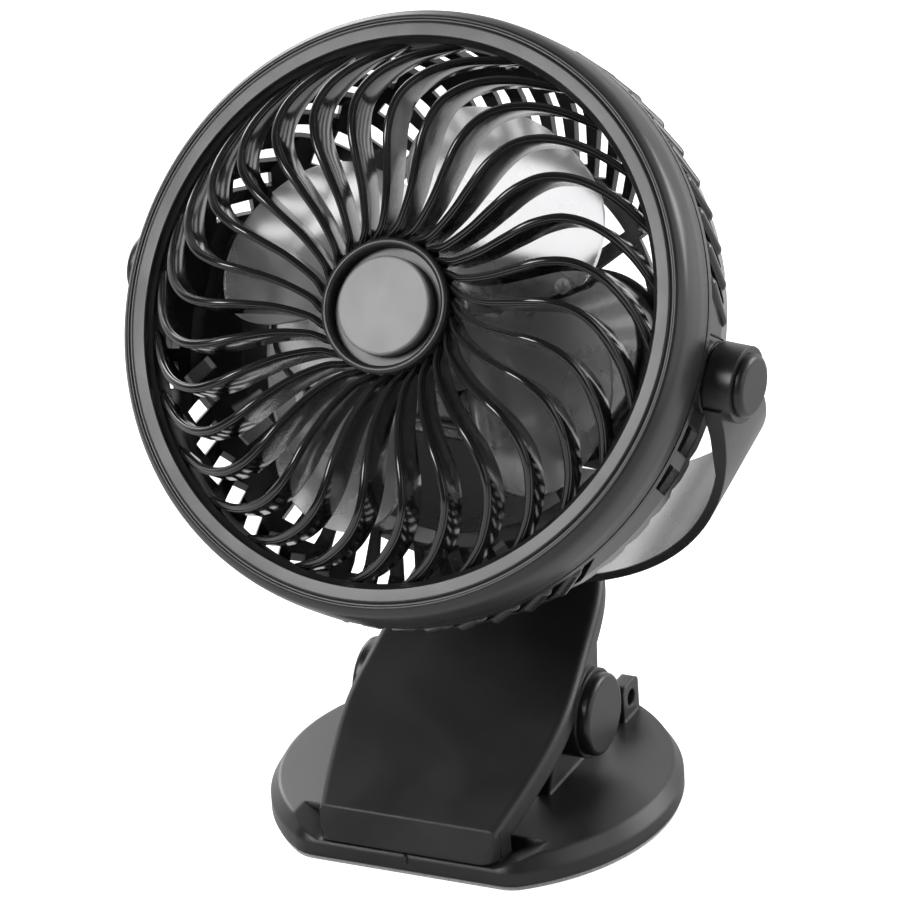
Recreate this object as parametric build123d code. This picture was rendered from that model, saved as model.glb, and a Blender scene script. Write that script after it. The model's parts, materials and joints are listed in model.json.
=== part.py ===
"""Clip fan: a caged fan head that tilts in a yoke, on a swivel, on a sprung clip with a round foot.

Millimetres. The origin is on the ground under the centre of the round foot, +Z is up and the
clip's straight edge faces -Y. Three frames are used: the ground frame for the clip, the yoke
frame (x along the tilt axis, y up the swivel axis, z to the front) and the head frame (x along
the tilt axis, y up the grille, z out of the grille, origin at the rim's front edge).
"""

from build123d import *
import math
import os

# ---- How the fan stands ----
seat_y = 34.9306  # where the swivel axis leaves the arm's seat
seat_z = 57.3606
swivel_lean = 21.0  # the swivel axis leans to the front from upright
swivel_angle = -3.5  # how far the yoke is turned from straight ahead
tilt_angle = 55.5  # how far the head is tilted up from square to the yoke
pivot_behind_rim = 26.0  # tilt axis behind the rim's front edge
pivot_above_axis = 1.2  # tilt axis above the fan's own axis

# ---- Clearances ----
running_gap = 0.06  # radial, round shafts and pins
slide_gap = 0.25  # round a button or a door
seat_gap = 0.3  # between faces that pass each other
screw_gap = 0.2  # radial, round a screw's shank
overrun = 1.0  # how far a cut runs past its face, or a joined piece into its neighbour

# ---- Foot: pad and lower jaw ----
foot_radius = 50.6
foot_chord = 42.3  # straight front edge, from the centre
foot_corner = 9.0
pad_thickness = 1.2
foot_band = 3.6  # height of the upright edge
foot_bevel = 3.6  # height of the sloping edge above it
foot_bevel_in = 2.2
foot_wall = 2.6
foot_rib = 2.0
foot_top = pad_thickness + foot_band + foot_bevel
jaw_step = 5.4  # level of the step that carries the lower jaw pad
jaw_step_half = 23.5
jaw_step_ramp = 9.0  # the foot's top slopes down to the step over this width
jaw_step_back = -30.0
jaw_pad_half = 20.0
jaw_pad_length = 8.0
jaw_pad_front = -40.8
jaw_pad_thickness = 0.9
jaw_pad_bevel = 0.3

# ---- Clip hinge ----
hinge_y = 8.0
hinge_z = 23.6
pin_radius = 2.0
ear_length = 5.2  # length of each barrel of the arm, outside the lugs
lug_outer = 23.4  # half width across the foot's two lugs
lug_thickness = 3.6
lug_radius = 8.0
lug_foot_front = -9.0
lug_foot_back = 24.0
barrel_radius = 11.2
hinge_cap_radius = 10.3
hinge_cap_height = 3.0
hinge_cap_round = 1.3
spring_coil_radius = 5.4
spring_wire = 1.6
spring_pitch = 2.3
spring_turns = 5
spring_lower_leg = 22.0
spring_upper_leg = 14.0
spring_lower_leg_slope = -25.0
spring_upper_leg_slope = 51.0

# ---- Hanging tabs at the back of the foot ----
tab_inner = 22.2
tab_thickness = 3.6
tab_back = 40.5
tab_length = 9.0
tab_height = 9.2
tab_hole = 2.2
tab_round = 2.0

# ---- Clip arm: the upper jaw ----
lip_front = -42.8
lip_level = 6.4
lip_back = -34.5
nose_y = -39.8  # top of the upright front face
nose_z = 14.3
knee_y = 6.0
knee_z = 37.8
shoulder_y = 27.0
shoulder_z = 50.3
tail_y = 46.0
tail_z = 60.5
arm_depth = 6.6  # depth of the arm's side walls below its top, measured upright
arm_wall = 2.2
ear_wall = 3.4
arm_front_half = 22.4
arm_waist_y = -9.0
arm_shoulder_half = 24.6
arm_edge_round = 2.0
arm_corner = 4.5  # round of the lip's two corners, seen from above
arm_corner_half = 23.7  # half width of the arm where those rounds end
upper_pad_thickness = 1.2
upper_pad_half = 18.5
upper_pad_length = 5.0
upper_pad_front = -41.0

# ---- Swivel ----
swivel_behind_tilt = 8.0  # swivel axis behind the tilt axis
seat_radius = 13.0
seat_depth = 9.0
stem_radius = 6.0
swivel_washer_radius = 9.0
swivel_washer_thickness = 1.0
swivel_screw_head = 4.0
swivel_screw_shank = 1.5
swivel_screw_length = 8.0
swivel_screw_head_height = 2.2
swivel_screw_cross = (2.4, 0.5, 1.0)  # half length, half width, depth
friction_ring_thickness = 0.8

# ---- Yoke ----
yoke_clearance = 2.3  # between the strap and the rim's side
strap_thickness = 2.4
strap_front = 10.1
strap_back = -26.0
strap_wide_below = -58.0  # below this level the strap has its full width
boss_radius = 9.4
boss_length = 7.0
boss_stand_off = 1.0  # from the cage's side to the inner face of each pivot boss
pivot_cap_radius = 7.8
pivot_cap_height = 2.3
pivot_cap_round = 1.6
pivot_shaft_radius = 3.0
pivot_screw_head = 2.7
pivot_screw_shank = 1.2
pivot_screw_head_height = 1.6
pivot_screw_length = 7.4

# ---- Front grille ----
rim_side = 73.9
rim_shoulder = 3.9  # from the rim's side in to its pale face
rim_face = 3.2  # width of the pale face
rim_lip = 1.6  # from the pale face in to the rim's inner wall
rim_depth = 14.4
rim_wall = 2.2
rim_lip_depth = 9.5  # depth of the rim's inner wall
fins_drawn_to = 65.2  # the fins' points below are drawn for a rim of this inner radius
fin_count = 28
fin_thickness = 1.7
fin_arch = 13.8  # highest point of the fins' front edges, before the rim's front edge
fin_arch_radius = 42.0
hub_radius = 16.4
hub_front = 8.5
hub_wall = 1.5
hub_depth = 9.5
hub_floor = 3.4  # depth of the floor that carries the badge
hub_floor_thickness = 1.8
badge_margin = 2.9  # from the badge to the hub ring's inner wall
badge_thickness = 3.6
badge_round = 0.6

# ---- Rear cage ----
parting_gap = 0.35
cage_wall = 2.2
cage_step = 0.9  # the cage's side lies this far inside the rim's side
cage_shoulder_z = -26.0
cage_round = 15.0  # from the cage's side in to the edge of its back
cage_back_z = -46.0
cage_bar_count = 52
cage_bar_phase = 1.2
side_lean = -45.0  # lean of the bars in the side wall: their back ends lie clockwise, seen from the front
shoulder_lean = -38.0
back_lean = -26.0
side_window = (12.0, 2.4)  # length along the wall, width
shoulder_window = (10.2, 3.5)
back_window = (8.6, 3.3)
long_window = (15.0, 3.3)
low_window = (9.0, 6.6)
low_window_angles = (-11.9, -20.0)  # two plain windows below each pivot
cage_rib_radius = 1.8
cage_rib_length = 10.5
cage_rib_slope = 4.0
pivot_block = 12.0  # solid part of the wall, either way from a pivot
plain_band = -43.0  # the wall has no ribs between this angle and the pivot above it
block_groove = 10.4  # level of the fine groove across the wall above each pivot
block_groove_width = 0.5
block_groove_depth = 1.4
rib_trim = 0.3  # the ribs stop this far below the wall's inner face
back_margin = 3.6  # from the edge of the cage's back in to its open sectors
back_ring_margin = 9.4  # from the edge of the cage's back in to its ring
back_ring_width = 2.4
back_sector = 34.0  # half height of the open sectors at the left and right
back_inner = 35.0
back_spoke_width = 3.4
back_spoke_angle = 44.0

# ---- Motor compartment, inside the cage ----
pod_wider = 9.0  # the motor cover reaches this far beyond the rear housing, to each side
pod_lower = 0.5  # and stays this far inside it at the top and bottom
pod_corner = 20.0
pod_front_z = -33.5
pod_wall = 1.8
pod_round = 2.5
motor_radius = 14.0
motor_front_z = -35.6
motor_length = 10.2
shaft_radius = 1.0
bearing_radius = 3.2
motor_screw_radius = 8.5
motor_screw_shank = 0.85
screw_from_side = 4.4  # from the rear housing's sides in to the screws
screw_from_top = 7.9
screw_post = 2.7
screw_shank = 1.0
screw_head = 2.0
screw_sunk = 3.4  # underside of each head inside the rear housing

cover_screw_x = 25.5  # the four screws seen through the grille, put in from the front
cover_screw_y = 16.4
cover_screw_head = 2.0
cover_screw_length = 6.5
cover_boss = 2.6

# ---- Rear housing, behind the cage ----
housing_half_height = 22.5
housing_corner = 9.0
housing_depth = 22.2
housing_wall = 2.0
housing_round = 3.0
battery_radius = 9.2
battery_length = 65.0
battery_gap = 1.2  # between the cell and the housing's back
battery_tip = (2.8, 1.2)  # radius, height
contact_thickness = 0.6
battery_room = 1.3  # between the cell and the housing's lower wall
contact_room = 6.5  # between the cell's ends and the housing's side walls
door_short = 0.5  # the door is this much shorter than the cell, at each end
door_half_height = 9.0
door_corner = 3.0
door_seat = 1.0  # depth of the step round the door
door_ledge = 2.0  # width of that step
button_radius = 6.0
button_x = 0.0
button_y = 12.5
button_travel = 1.2
button_proud = 1.6
button_flange = 1.2
switch_half = 3.0
switch_height = 2.6
switch_face_gap = 2.8  # from the housing's back wall to the switch
board_half_width = 26.0
board_half_height = 8.5
board_thickness = 1.2
usb_half_width = 4.6
usb_half_height = 1.7
usb_x = -22.0
lens_radius = 1.6
lens_x = 14.0

# ---- Impeller ----
blade_count = 4
blade_gap = 10.2  # from the blades' tips to the rim's inner wall
blade_thickness = 1.4
blade_middle_z = -16.0
blade_rise = 17.2  # rise of the blade's face to the front, per radian anticlockwise
blade_phase = 72.0
impeller_hub_radius = 14.5
impeller_hub_front = -6.0
impeller_hub_back = -31.0
impeller_hub_wall = 1.6
spigot_radius = 3.4

# ---- Sizes that follow from the ones above ----
barrel_end = lug_outer + seat_gap + ear_length
arm_waist_half = barrel_end - 0.1
rim_outer = rim_side - rim_shoulder
rim_inner = rim_outer - rim_face
grille_inner = rim_inner - rim_lip
badge_radius = hub_radius - hub_wall - badge_margin
cage_side = rim_side - cage_step
cage_back_radius = cage_side - cage_round
side_window_middle = (cage_side, cage_shoulder_z + 3.2)  # radius, level
low_window_middle = (cage_side, cage_shoulder_z + 3.6)
cage_rib_middle = (cage_side - 1.1, cage_shoulder_z + 3.2)
shoulder_window_middle = (cage_side - 3.0, cage_shoulder_z - 8.4)
back_window_middle = (cage_back_radius + 2.0, cage_back_z + 2.6)
long_window_middle = (cage_back_radius - 0.8, cage_back_z + 1.3)
back_outer = cage_back_radius - back_margin
back_ring = cage_back_radius - back_ring_margin
boss_start = cage_side + boss_stand_off
yoke_radius = rim_side + yoke_clearance + strap_thickness
housing_half_width = battery_length / 2 + contact_room + housing_wall
battery_drop = housing_half_height - housing_wall - battery_room - battery_radius
door_half_width = battery_length / 2 - door_short
screw_x = housing_half_width - screw_from_side
screw_y = housing_half_height - screw_from_top
pod_half_width = housing_half_width + pod_wider
pod_half_height = housing_half_height - pod_lower
blade_tip = grille_inner - blade_gap

# ---- Frames ----
seat_level = -(yoke_radius + friction_ring_thickness + seat_gap)
swivel_seat = Pos(0, seat_y, seat_z) * Rot(90 + swivel_lean, 0, 0)
upright_frame = swivel_seat * Pos(0, -seat_level, swivel_behind_tilt)
behind_tilt = Pos(0, 0, -swivel_behind_tilt)
yoke_frame = upright_frame * behind_tilt * Rot(0, swivel_angle, 0) * behind_tilt.inverse()
head_frame = yoke_frame * Rot(-tilt_angle, 0, 0) * Pos(0, -pivot_above_axis, pivot_behind_rim)
cage_front = -rim_depth - parting_gap
housing_front = cage_back_z - cage_wall
housing_back = housing_front - housing_depth
switch_face = housing_back + housing_wall + switch_face_gap
board_back = switch_face + switch_height
battery_z = housing_back + housing_wall + battery_gap + battery_radius
motor_back = motor_front_z - motor_length
screw_tip = cage_back_z + 8.0
friction_gap = boss_start - friction_ring_thickness


def turned(radius, start, end, side=1):
    """A round bar along x from start to end, on one side of the middle."""
    bar = Cylinder(radius, end - start, align=(Align.CENTER, Align.CENTER, Align.MIN))
    return Rot(0, 90 * side, 0) * Pos(0, 0, start) * bar


def upright(radius, low, high):
    """A round bar along z from low to high."""
    bar = Cylinder(radius, high - low, align=(Align.CENTER, Align.CENTER, Align.MIN))
    return Pos(0, 0, low) * bar


def sunk(radius, low, high):
    """A round bar along y from low to high."""
    return Rot(-90, 0, 0) * upright(radius, low, high)


def block(x_low, x_high, y_low, y_high, z_low, z_high):
    """A block between two corners."""
    size = (x_high - x_low, y_high - y_low, z_high - z_low)
    middle = ((x_high + x_low) / 2, (y_high + y_low) / 2, (z_high + z_low) / 2)
    return Pos(*middle) * Box(*size)


def face_of(points):
    """A flat face with straight sides."""
    return make_face(Polyline(*points, close=True))


def lathe(points):
    """A ring turned about z from a straight-sided outline of (radius, z) points."""
    outline = Plane.XZ * face_of(points)
    return revolve(outline, Axis.Z)


def rounded_block(half_width, half_height, corner, low, high):
    """A block along z with rounded corners."""
    outline = RectangleRounded(2 * half_width, 2 * half_height, corner)
    return Pos(0, 0, low) * extrude(outline, high - low)


def side_profile(points):
    """The plane x = 0 outline of a piece of the clip, from (y, z) points."""
    return Plane.YZ * face_of(points)


def one_solid(shape):
    """The shape as its single solid."""
    solids = shape.solids()
    return solids[0] if len(solids) == 1 else Compound(children=list(solids))


# ---- Foot ----
def foot_outline(inset):
    """A disc cut straight across its front, drawn in by inset."""
    disc = Circle(foot_radius - inset)
    span = 2 * foot_radius
    keep = Pos(0, span / 2 - foot_chord + inset) * Rectangle(2 * span, span)
    outline = disc & keep
    corners = outline.vertices().filter_by(lambda v: v.Y < 0)
    return fillet(corners, foot_corner - inset)


def foot_pad():
    return extrude(foot_outline(0.5), pad_thickness)


def hinge_lug(side):
    """An upright lug of the foot, with the hole for the clip's pin."""
    middle = Pos(hinge_y, hinge_z) * Circle(lug_radius)
    skirt = face_of([
        (lug_foot_front, foot_top - overrun),
        (lug_foot_back, foot_top - overrun),
        (hinge_y + lug_radius * 0.96, hinge_z + pin_radius),
        (hinge_y - lug_radius * 0.96, hinge_z + pin_radius),
    ])
    plate = extrude(Plane.YZ * (middle + skirt), lug_thickness)
    start = lug_outer - lug_thickness if side > 0 else -lug_outer
    return Pos(start, 0, 0) * plate


def hanging_tab(side):
    """A short upright tab with a cross hole, near the back of the foot."""
    start = tab_inner if side > 0 else -tab_inner - tab_thickness
    finish = start + tab_thickness
    tab = block(start, finish, tab_back - tab_length, tab_back, foot_top - overrun, foot_top + tab_height)
    tab = fillet(tab.edges().filter_by(Axis.X).group_by(Axis.Z)[-1], tab_round)
    hole_z = foot_top + tab_height - 2 * tab_hole
    hole = turned(tab_hole, start - overrun, finish + overrun)
    return tab - Pos(0, tab_back - tab_length / 2, hole_z) * hole


def jaw_recess():
    """The space over the lower jaw's step, with a slope at each side."""
    rise = foot_top + overrun - jaw_step
    wide = jaw_step_half + jaw_step_ramp * rise / (foot_top - jaw_step)
    section = Plane.XZ * face_of([
        (-jaw_step_half, jaw_step), (jaw_step_half, jaw_step),
        (wide, jaw_step + rise), (-wide, jaw_step + rise),
    ])
    return Pos(0, jaw_step_back, 0) * extrude(section, foot_radius)


def base_plate():
    """The lower jaw: a bevelled disc with two hinge lugs, hollow underneath."""
    band = Pos(0, 0, pad_thickness) * extrude(foot_outline(0), foot_band)
    slope = math.degrees(math.atan(foot_bevel_in / foot_bevel))
    bevel = Pos(0, 0, pad_thickness + foot_band) * extrude(foot_outline(0), foot_bevel, taper=slope)
    plate = band + bevel
    hollow_outline = foot_outline(foot_wall + foot_bevel_in)
    hollow = Pos(0, 0, pad_thickness) * extrude(hollow_outline, jaw_step - foot_wall - pad_thickness)
    ribs = block(-foot_radius, foot_radius, hinge_y - foot_rib / 2, hinge_y + foot_rib / 2, 0, foot_top)
    for side in (-1, 1):
        across = side * (lug_outer - lug_thickness / 2)
        left, right = across - foot_rib / 2, across + foot_rib / 2
        ribs = ribs + block(left, right, -foot_radius, foot_radius, 0, foot_top)
    plate = plate - (hollow - ribs)
    plate = plate - jaw_recess()
    for side in (-1, 1):
        plate = plate + hinge_lug(side) + hanging_tab(side)
    return plate - Pos(0, hinge_y, hinge_z) * turned(pin_radius + running_gap, -barrel_end, barrel_end)


def lower_jaw_pad():
    back = jaw_pad_front + jaw_pad_length
    pad = block(-jaw_pad_half, jaw_pad_half, jaw_pad_front, back, jaw_step, jaw_step + jaw_pad_thickness)
    return chamfer(pad.edges().group_by(Axis.Z)[-1], jaw_pad_bevel)


# ---- Clip arm ----
def arm_outline(inset):
    """The arm seen from above, drawn in by inset: a smooth curve, cut straight across its front."""
    right = [
        (arm_front_half - inset, lip_front - 1),
        (arm_waist_half - 1.2 - inset, (lip_front + arm_waist_y) / 2 + 5),
        (arm_waist_half - inset, arm_waist_y),
        (arm_waist_half - 2.0 - inset, (arm_waist_y + shoulder_y) / 2 + 4),
        (arm_shoulder_half - inset, shoulder_y),
        (arm_shoulder_half * 0.66 - inset, tail_y - 6 - inset),
        (0, tail_y - inset),
    ]
    left = [(-x, y) for x, y in reversed(right[:-1])]
    edge = Spline(*right, *left)
    return make_face([edge, Line(edge @ 1, edge @ 0)])


def arm_line(drop):
    """The arm's top line seen from the side, lowered by drop: a ramp, then a steeper shoulder."""
    points = [(nose_y, nose_z), (-24.4, 22.2), (-9.0, 30.1), (knee_y, knee_z), (17.0, 44.3),
              (shoulder_y, shoulder_z), (37.0, 56.0), (tail_y + 2, tail_z)]
    return Spline(*[(y, z - drop) for y, z in points])


def arm_profile():
    """The arm seen from the side: a front lip below the start of its top line."""
    top = arm_line(0)
    bottom = Spline((lip_back, lip_level + 4.5), (-9.0, 30.1 - arm_depth), (knee_y, knee_z - arm_depth),
                    (shoulder_y, shoulder_z - arm_depth), (tail_y + 2, tail_z - arm_depth))
    ends = Polyline(bottom @ 0, (lip_back, lip_level), (lip_front, lip_level), top @ 0)
    return Plane.YZ * make_face([top, Line(top @ 1, bottom @ 1), bottom, *ends.edges()])


def arm_hollow():
    """The space under the arm's skin, inside its side walls."""
    top = arm_line(arm_wall * 1.15)
    low = lip_level - 10
    front = lip_back - arm_wall
    ends = Polyline(top @ 1, (tail_y + 2, low), (front, low), (front, lip_level + 3), top @ 0)
    inner = Plane.YZ * make_face([top, *ends.edges()])
    behind_lip = block(-arm_waist_half, arm_waist_half, front, tail_y, low, 2 * tail_z)
    plan = Pos(0, 0, low) * extrude(arm_outline(arm_wall), 2 * tail_z)
    return plan & extrude(inner, arm_waist_half, both=True) & behind_lip


def under_arm(inset):
    """All the space below the arm's top and inside its outline, drawn in by inset."""
    top = arm_line(inset)
    low = lip_level - 10
    ends = Polyline(top @ 1, (tail_y + 2, low), (nose_y, low), top @ 0)
    inside = Plane.YZ * make_face([top, *ends.edges()])
    plan = Pos(0, 0, low) * extrude(arm_outline(inset), 2 * tail_z)
    return plan & extrude(inside, arm_waist_half, both=True)


def hinge_ear(side):
    """A side plate of the arm with a thick round barrel for the clip's pin."""
    start = lug_outer + seat_gap
    barrel = turned(barrel_radius, start, barrel_end, side)
    web = side_profile([
        (hinge_y - barrel_radius, hinge_z + 2),
        (hinge_y + barrel_radius * 0.97, hinge_z + 2),
        (hinge_y + barrel_radius + 1.5, hinge_z + barrel_radius + 6),
        (shoulder_y, shoulder_z),
        (nose_y, knee_z),
    ])
    inner = start if side > 0 else -start - ear_wall
    web = Pos(inner, 0, 0) * extrude(web, ear_wall) & under_arm(arm_wall / 2)
    return Pos(0, hinge_y, hinge_z) * barrel + web


def corner_cut(side):
    """What is cut away outside the round of one corner of the lip."""
    x = arm_corner_half - arm_corner
    y = lip_front + arm_corner
    square = block(x, x + 2 * arm_corner, y - 2 * arm_corner, y, 0, tail_z)
    cut = square - Pos(x, y, 0) * upright(arm_corner, -overrun, tail_z + overrun)
    return cut if side > 0 else mirror(cut, Plane.YZ)


def seat_boss(radius, low, high):
    """A round bar on the swivel axis, between two levels of the yoke frame."""
    return upright_frame * behind_tilt * sunk(radius, low, high)


def clip_arm():
    """The upper jaw: a thin ramp with side walls, hinge barrels and the swivel seat."""
    body = extrude(arm_outline(0), 2 * tail_z) & extrude(arm_profile(), arm_waist_half + 1, both=True)
    long_edges = body.edges().filter_by(lambda e: e.length > 2 * tail_y and abs((e @ 0.5).X) > 1)
    body = fillet(long_edges.sort_by(Axis.Z)[-2:], arm_edge_round)
    body = body - arm_hollow()
    for side in (-1, 1):
        body = body - corner_cut(side) + hinge_ear(side)
    body = body + seat_boss(seat_radius, seat_level - seat_depth, seat_level)
    body = body - seat_boss(stem_radius + running_gap, seat_level - 2 * seat_depth, seat_level + 1)
    recess = block(
        -upper_pad_half, upper_pad_half, upper_pad_front,
        upper_pad_front + upper_pad_length, 0, lip_level + upper_pad_thickness,
    )
    body = body - recess
    return body - Pos(0, hinge_y, hinge_z) * turned(pin_radius + running_gap, -barrel_end, barrel_end)


def upper_jaw_pad():
    return block(
        -upper_pad_half, upper_pad_half, upper_pad_front,
        upper_pad_front + upper_pad_length, lip_level, lip_level + upper_pad_thickness,
    )


def hinge_pin():
    return Pos(0, hinge_y, hinge_z) * turned(pin_radius, 0.2 - barrel_end, barrel_end - 0.2)


def hinge_cap(side):
    cap = upright(hinge_cap_radius, barrel_end, barrel_end + hinge_cap_height)
    cap = fillet(cap.edges().group_by(Axis.Z)[-1], hinge_cap_round)
    return Pos(0, hinge_y, hinge_z) * Rot(0, 90 * side, 0) * cap


def clip_spring():
    """A torsion spring round the pin: one leg on the foot, the other under the arm."""
    turns = spring_turns + (spring_lower_leg_slope - spring_upper_leg_slope + 180) / 360
    height = spring_pitch * turns
    coil = Helix(spring_pitch, height, spring_coil_radius)
    start, finish = coil @ 0, coil @ 1
    lower_leg = Line(start - (coil % 0) * spring_lower_leg, start)
    upper_leg = Line(finish, finish + (coil % 1) * spring_upper_leg)
    path = Wire([lower_leg, coil, upper_leg])
    section = Plane(path @ 0, z_dir=path % 0) * Circle(spring_wire / 2)
    spring = sweep(section, path)
    turned_round = Rot(0, -90, 0) * Rot(0, 0, 180 - spring_lower_leg_slope)
    return Pos(height / 2, hinge_y, hinge_z) * turned_round * spring


def spring_gap():
    """Least gap between the spring's turns, measured on points of its middle line."""
    steps = 36  # points a turn
    count = round(spring_turns * steps)
    turn = [2 * math.pi * i / steps for i in range(count)]
    r = spring_coil_radius
    points = [Vector(r * math.cos(a), r * math.sin(a), spring_pitch * a / (2 * math.pi)) for a in turn]
    gaps = [(points[i] - points[j]).length for i in range(count) for j in range(i + steps // 2, count)]
    return min(gaps) - spring_wire


# ---- Yoke ----
def strap():
    """A half ring that widens to the back towards its bottom."""
    reach = yoke_radius + 5
    ring = Circle(yoke_radius) - Circle(yoke_radius - strap_thickness)
    lower = Pos(0, -reach / 2) * Rectangle(2 * reach, reach)
    band = Pos(0, 0, strap_back) * extrude(ring & lower, strap_front - strap_back)
    side = Plane.YZ * face_of([
        (1, strap_front), (-reach, strap_front), (-reach, strap_back), (strap_wide_below, strap_back),
        (-boss_radius, -boss_radius), (1, -boss_radius),
    ])
    return band & extrude(side, reach, both=True)


def pivot_root(side):
    """The thick root of the strap next to a pivot boss."""
    inner = yoke_radius - strap_thickness
    root = face_of([
        (boss_start, 0), (yoke_radius - 0.4, 0), (yoke_radius - 0.8, -boss_radius),
        (inner - 1.4, -24.0), (inner - 3.7, -24.0), (boss_start, -boss_radius),
    ])
    wedge = Pos(0, 0, -boss_radius) * extrude(root, strap_front + boss_radius)
    return wedge if side > 0 else mirror(wedge, Plane.YZ)


def yoke():
    body = strap()
    for side in (-1, 1):
        body = body + turned(boss_radius, boss_start, boss_start + boss_length, side) + pivot_root(side)
    seat = behind_tilt * sunk(seat_radius, -yoke_radius - seat_gap, 3 - yoke_radius)
    stem = behind_tilt * sunk(stem_radius, seat_level - seat_depth, -yoke_radius)
    body = body + seat + stem
    inside = upright(yoke_radius - strap_thickness, strap_back - 1, strap_front + 1)
    body = body - (inside & block(-40, 40, -yoke_radius, 0, strap_back, strap_front))
    boss_end = boss_start + boss_length
    bore = pivot_shaft_radius + running_gap
    for side in (-1, 1):
        body = body - turned(bore, boss_start - overrun, boss_end + overrun, side)
    stem_end = seat_level - seat_depth
    return body - behind_tilt * sunk(swivel_screw_shank, stem_end - overrun, stem_end + swivel_screw_length)


def swivel_ring():
    """The plastic friction ring between the yoke's seat and the arm's seat."""
    low = seat_level
    ring = sunk(seat_radius - 0.6, low, low + friction_ring_thickness)
    ring = ring - sunk(stem_radius + screw_gap, low - 1, low + 2)
    return behind_tilt * ring


def swivel_washer():
    top = seat_level - seat_depth
    washer = sunk(swivel_washer_radius, top - swivel_washer_thickness, top)
    washer = washer - sunk(swivel_screw_shank + screw_gap, top - 2 * swivel_washer_thickness, top + overrun)
    return behind_tilt * washer


def swivel_screw():
    top = seat_level - seat_depth - swivel_washer_thickness
    low = top - swivel_screw_head_height
    head = sunk(swivel_screw_head, low, top)
    shank = sunk(swivel_screw_shank, top, top + swivel_screw_length)
    long, narrow, depth = swivel_screw_cross
    cross = block(-narrow, narrow, low - overrun, low + depth, -long, long)
    cross = cross + block(-long, long, low - overrun, low + depth, -narrow, narrow)
    return behind_tilt * (head + shank - cross)


def pivot_cap(side):
    """The domed cover pressed over each tilt pivot."""
    start = boss_start + boss_length
    cap = upright(pivot_cap_radius, start, start + pivot_cap_height)
    cap = fillet(cap.edges().group_by(Axis.Z)[-1], pivot_cap_round)
    return Rot(0, 90 * side, 0) * cap


def pivot_ring(side):
    """The friction ring between the head's pivot pad and the yoke."""
    ring = turned(boss_radius - 1, friction_gap, boss_start, side)
    return ring - turned(pivot_shaft_radius + seat_gap, friction_gap - overrun, boss_start + overrun, side)


def pivot_screw(side):
    """The screw in the end of each pivot shaft, whose head holds the yoke's boss on."""
    end = boss_start + boss_length - 0.4
    seat = end - pivot_screw_head_height
    head = turned(pivot_screw_head, seat, end, side)
    shank = turned(pivot_screw_shank, seat - pivot_screw_length, seat, side)
    return Pos(0, pivot_above_axis, -pivot_behind_rim) * (head + shank)


# ---- Front grille ----
def rim():
    """The U-shaped rim: a pale face, a groove, a rounded side wall and an inner wall."""
    band = rim_outer + 1.0
    front = Polyline(
        (rim_inner - 0.5, -1.2), (rim_inner, 0.1), (rim_outer, 0.0), (rim_outer + 0.15, -0.9),
        (band - 0.15, -0.9), (band, -0.3),
    )
    side = Spline(
        front @ 1, (band + 1.1, -0.8), (band + 2.2, -2.5), (rim_side - 0.2, -5.4), (rim_side, -9.0),
    )
    inside = Polyline(
        side @ 1, (rim_side, -rim_depth), (rim_side - rim_wall, -rim_depth), (rim_side - rim_wall, -5.0),
        (band - 1.4, -2.4), (grille_inner + rim_wall, -2.4), (grille_inner + rim_wall, -rim_lip_depth),
        (grille_inner, -rim_lip_depth), (grille_inner, -1.6), front @ 0,
    )
    outline = make_face([*front.edges(), side, *inside.edges()])
    return revolve(Plane.XZ * outline, Axis.Z)


def fin_path():
    """One fin's middle line in the grille's plane, from the hub out to the rim."""
    stretch = grille_inner / fins_drawn_to
    points = [
        (13.4, 8.0), (15.8, 7.2), (19.6, 5.8), (27.4, 5.6), (35.4, 6.7), (43.3, 7.9),
        (50.4, 7.3), (56.6, 3.6), (61.4, -3.2), (64.6, -13.2),
    ]
    return Spline(*[(x * stretch, y * stretch) for x, y in points])


def fin_outline():
    """The fin seen from the front, thickened about its middle line."""
    path = fin_path()
    stations = [i / 14 for i in range(15)]
    left, right = [], []
    for t in stations:
        point, along = path @ t, path % t
        across = Vector(-along.Y, along.X, 0) * (fin_thickness / 2)
        left.append(point + across)
        right.append(point - across)
    sides = [Spline(*left), Line(left[-1], right[-1]), Spline(*right), Line(right[0], left[0])]
    return make_face(sides)


def fin_space():
    """The ring of space between the fins' arched front edges and their back edges."""
    stretch = grille_inner / fins_drawn_to
    front = [
        (20.0, 8.4), (28.0, 11.2), (36.0, 13.2), (fin_arch_radius, fin_arch), (50.0, 12.3), (56.0, 8.9),
        (60.0, 4.9), (64.0, -0.8),
    ]
    front = [(radius * stretch, level) for radius, level in front]
    front = Spline((hub_radius - 3, 4.8), *front, (rim_inner, -4.4))
    back = [(28.0, 3.0), (40.0, 4.0), (50.0, 3.6), (58.0, -0.8)]
    back = [(radius * stretch, level) for radius, level in back]
    back = Spline((hub_radius - 3, 0.2), *back, (rim_inner, -7.8))
    first = Line(back @ 0, front @ 0)
    last = Line(front @ 1, back @ 1)
    return revolve(Plane.XZ * make_face([first, front, last, back]), Axis.Z)


def hub_ring():
    """The ring that the fins start from, with a floor for the badge."""
    floor = hub_front - hub_floor
    under = floor - hub_floor_thickness
    inner = hub_radius - hub_wall
    recess = inner - 0.5
    return lathe([
        (0, floor), (recess, floor), (recess, hub_front - 1.0), (inner, hub_front - 0.2),
        (inner + 0.4, hub_front), (hub_radius - 0.5, hub_front), (hub_radius, hub_front - 0.6),
        (hub_radius, hub_front - hub_depth), (inner, hub_front - hub_depth), (inner, under), (0, under),
    ])


def front_grille():
    """Rim, swept-back fins and hub ring, moulded in one."""
    blank = Pos(0, 0, -20) * extrude(fin_outline(), 40)
    fin = one_solid(blank & fin_space())
    fins = [Rot(0, 0, 360 / fin_count * i) * fin for i in range(fin_count)]
    return rim().fuse(hub_ring(), *fins)


def hub_badge():
    low = hub_front - hub_floor
    badge = upright(badge_radius, low, low + badge_thickness)
    return fillet(badge.edges().group_by(Axis.Z)[-1], badge_round)


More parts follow.
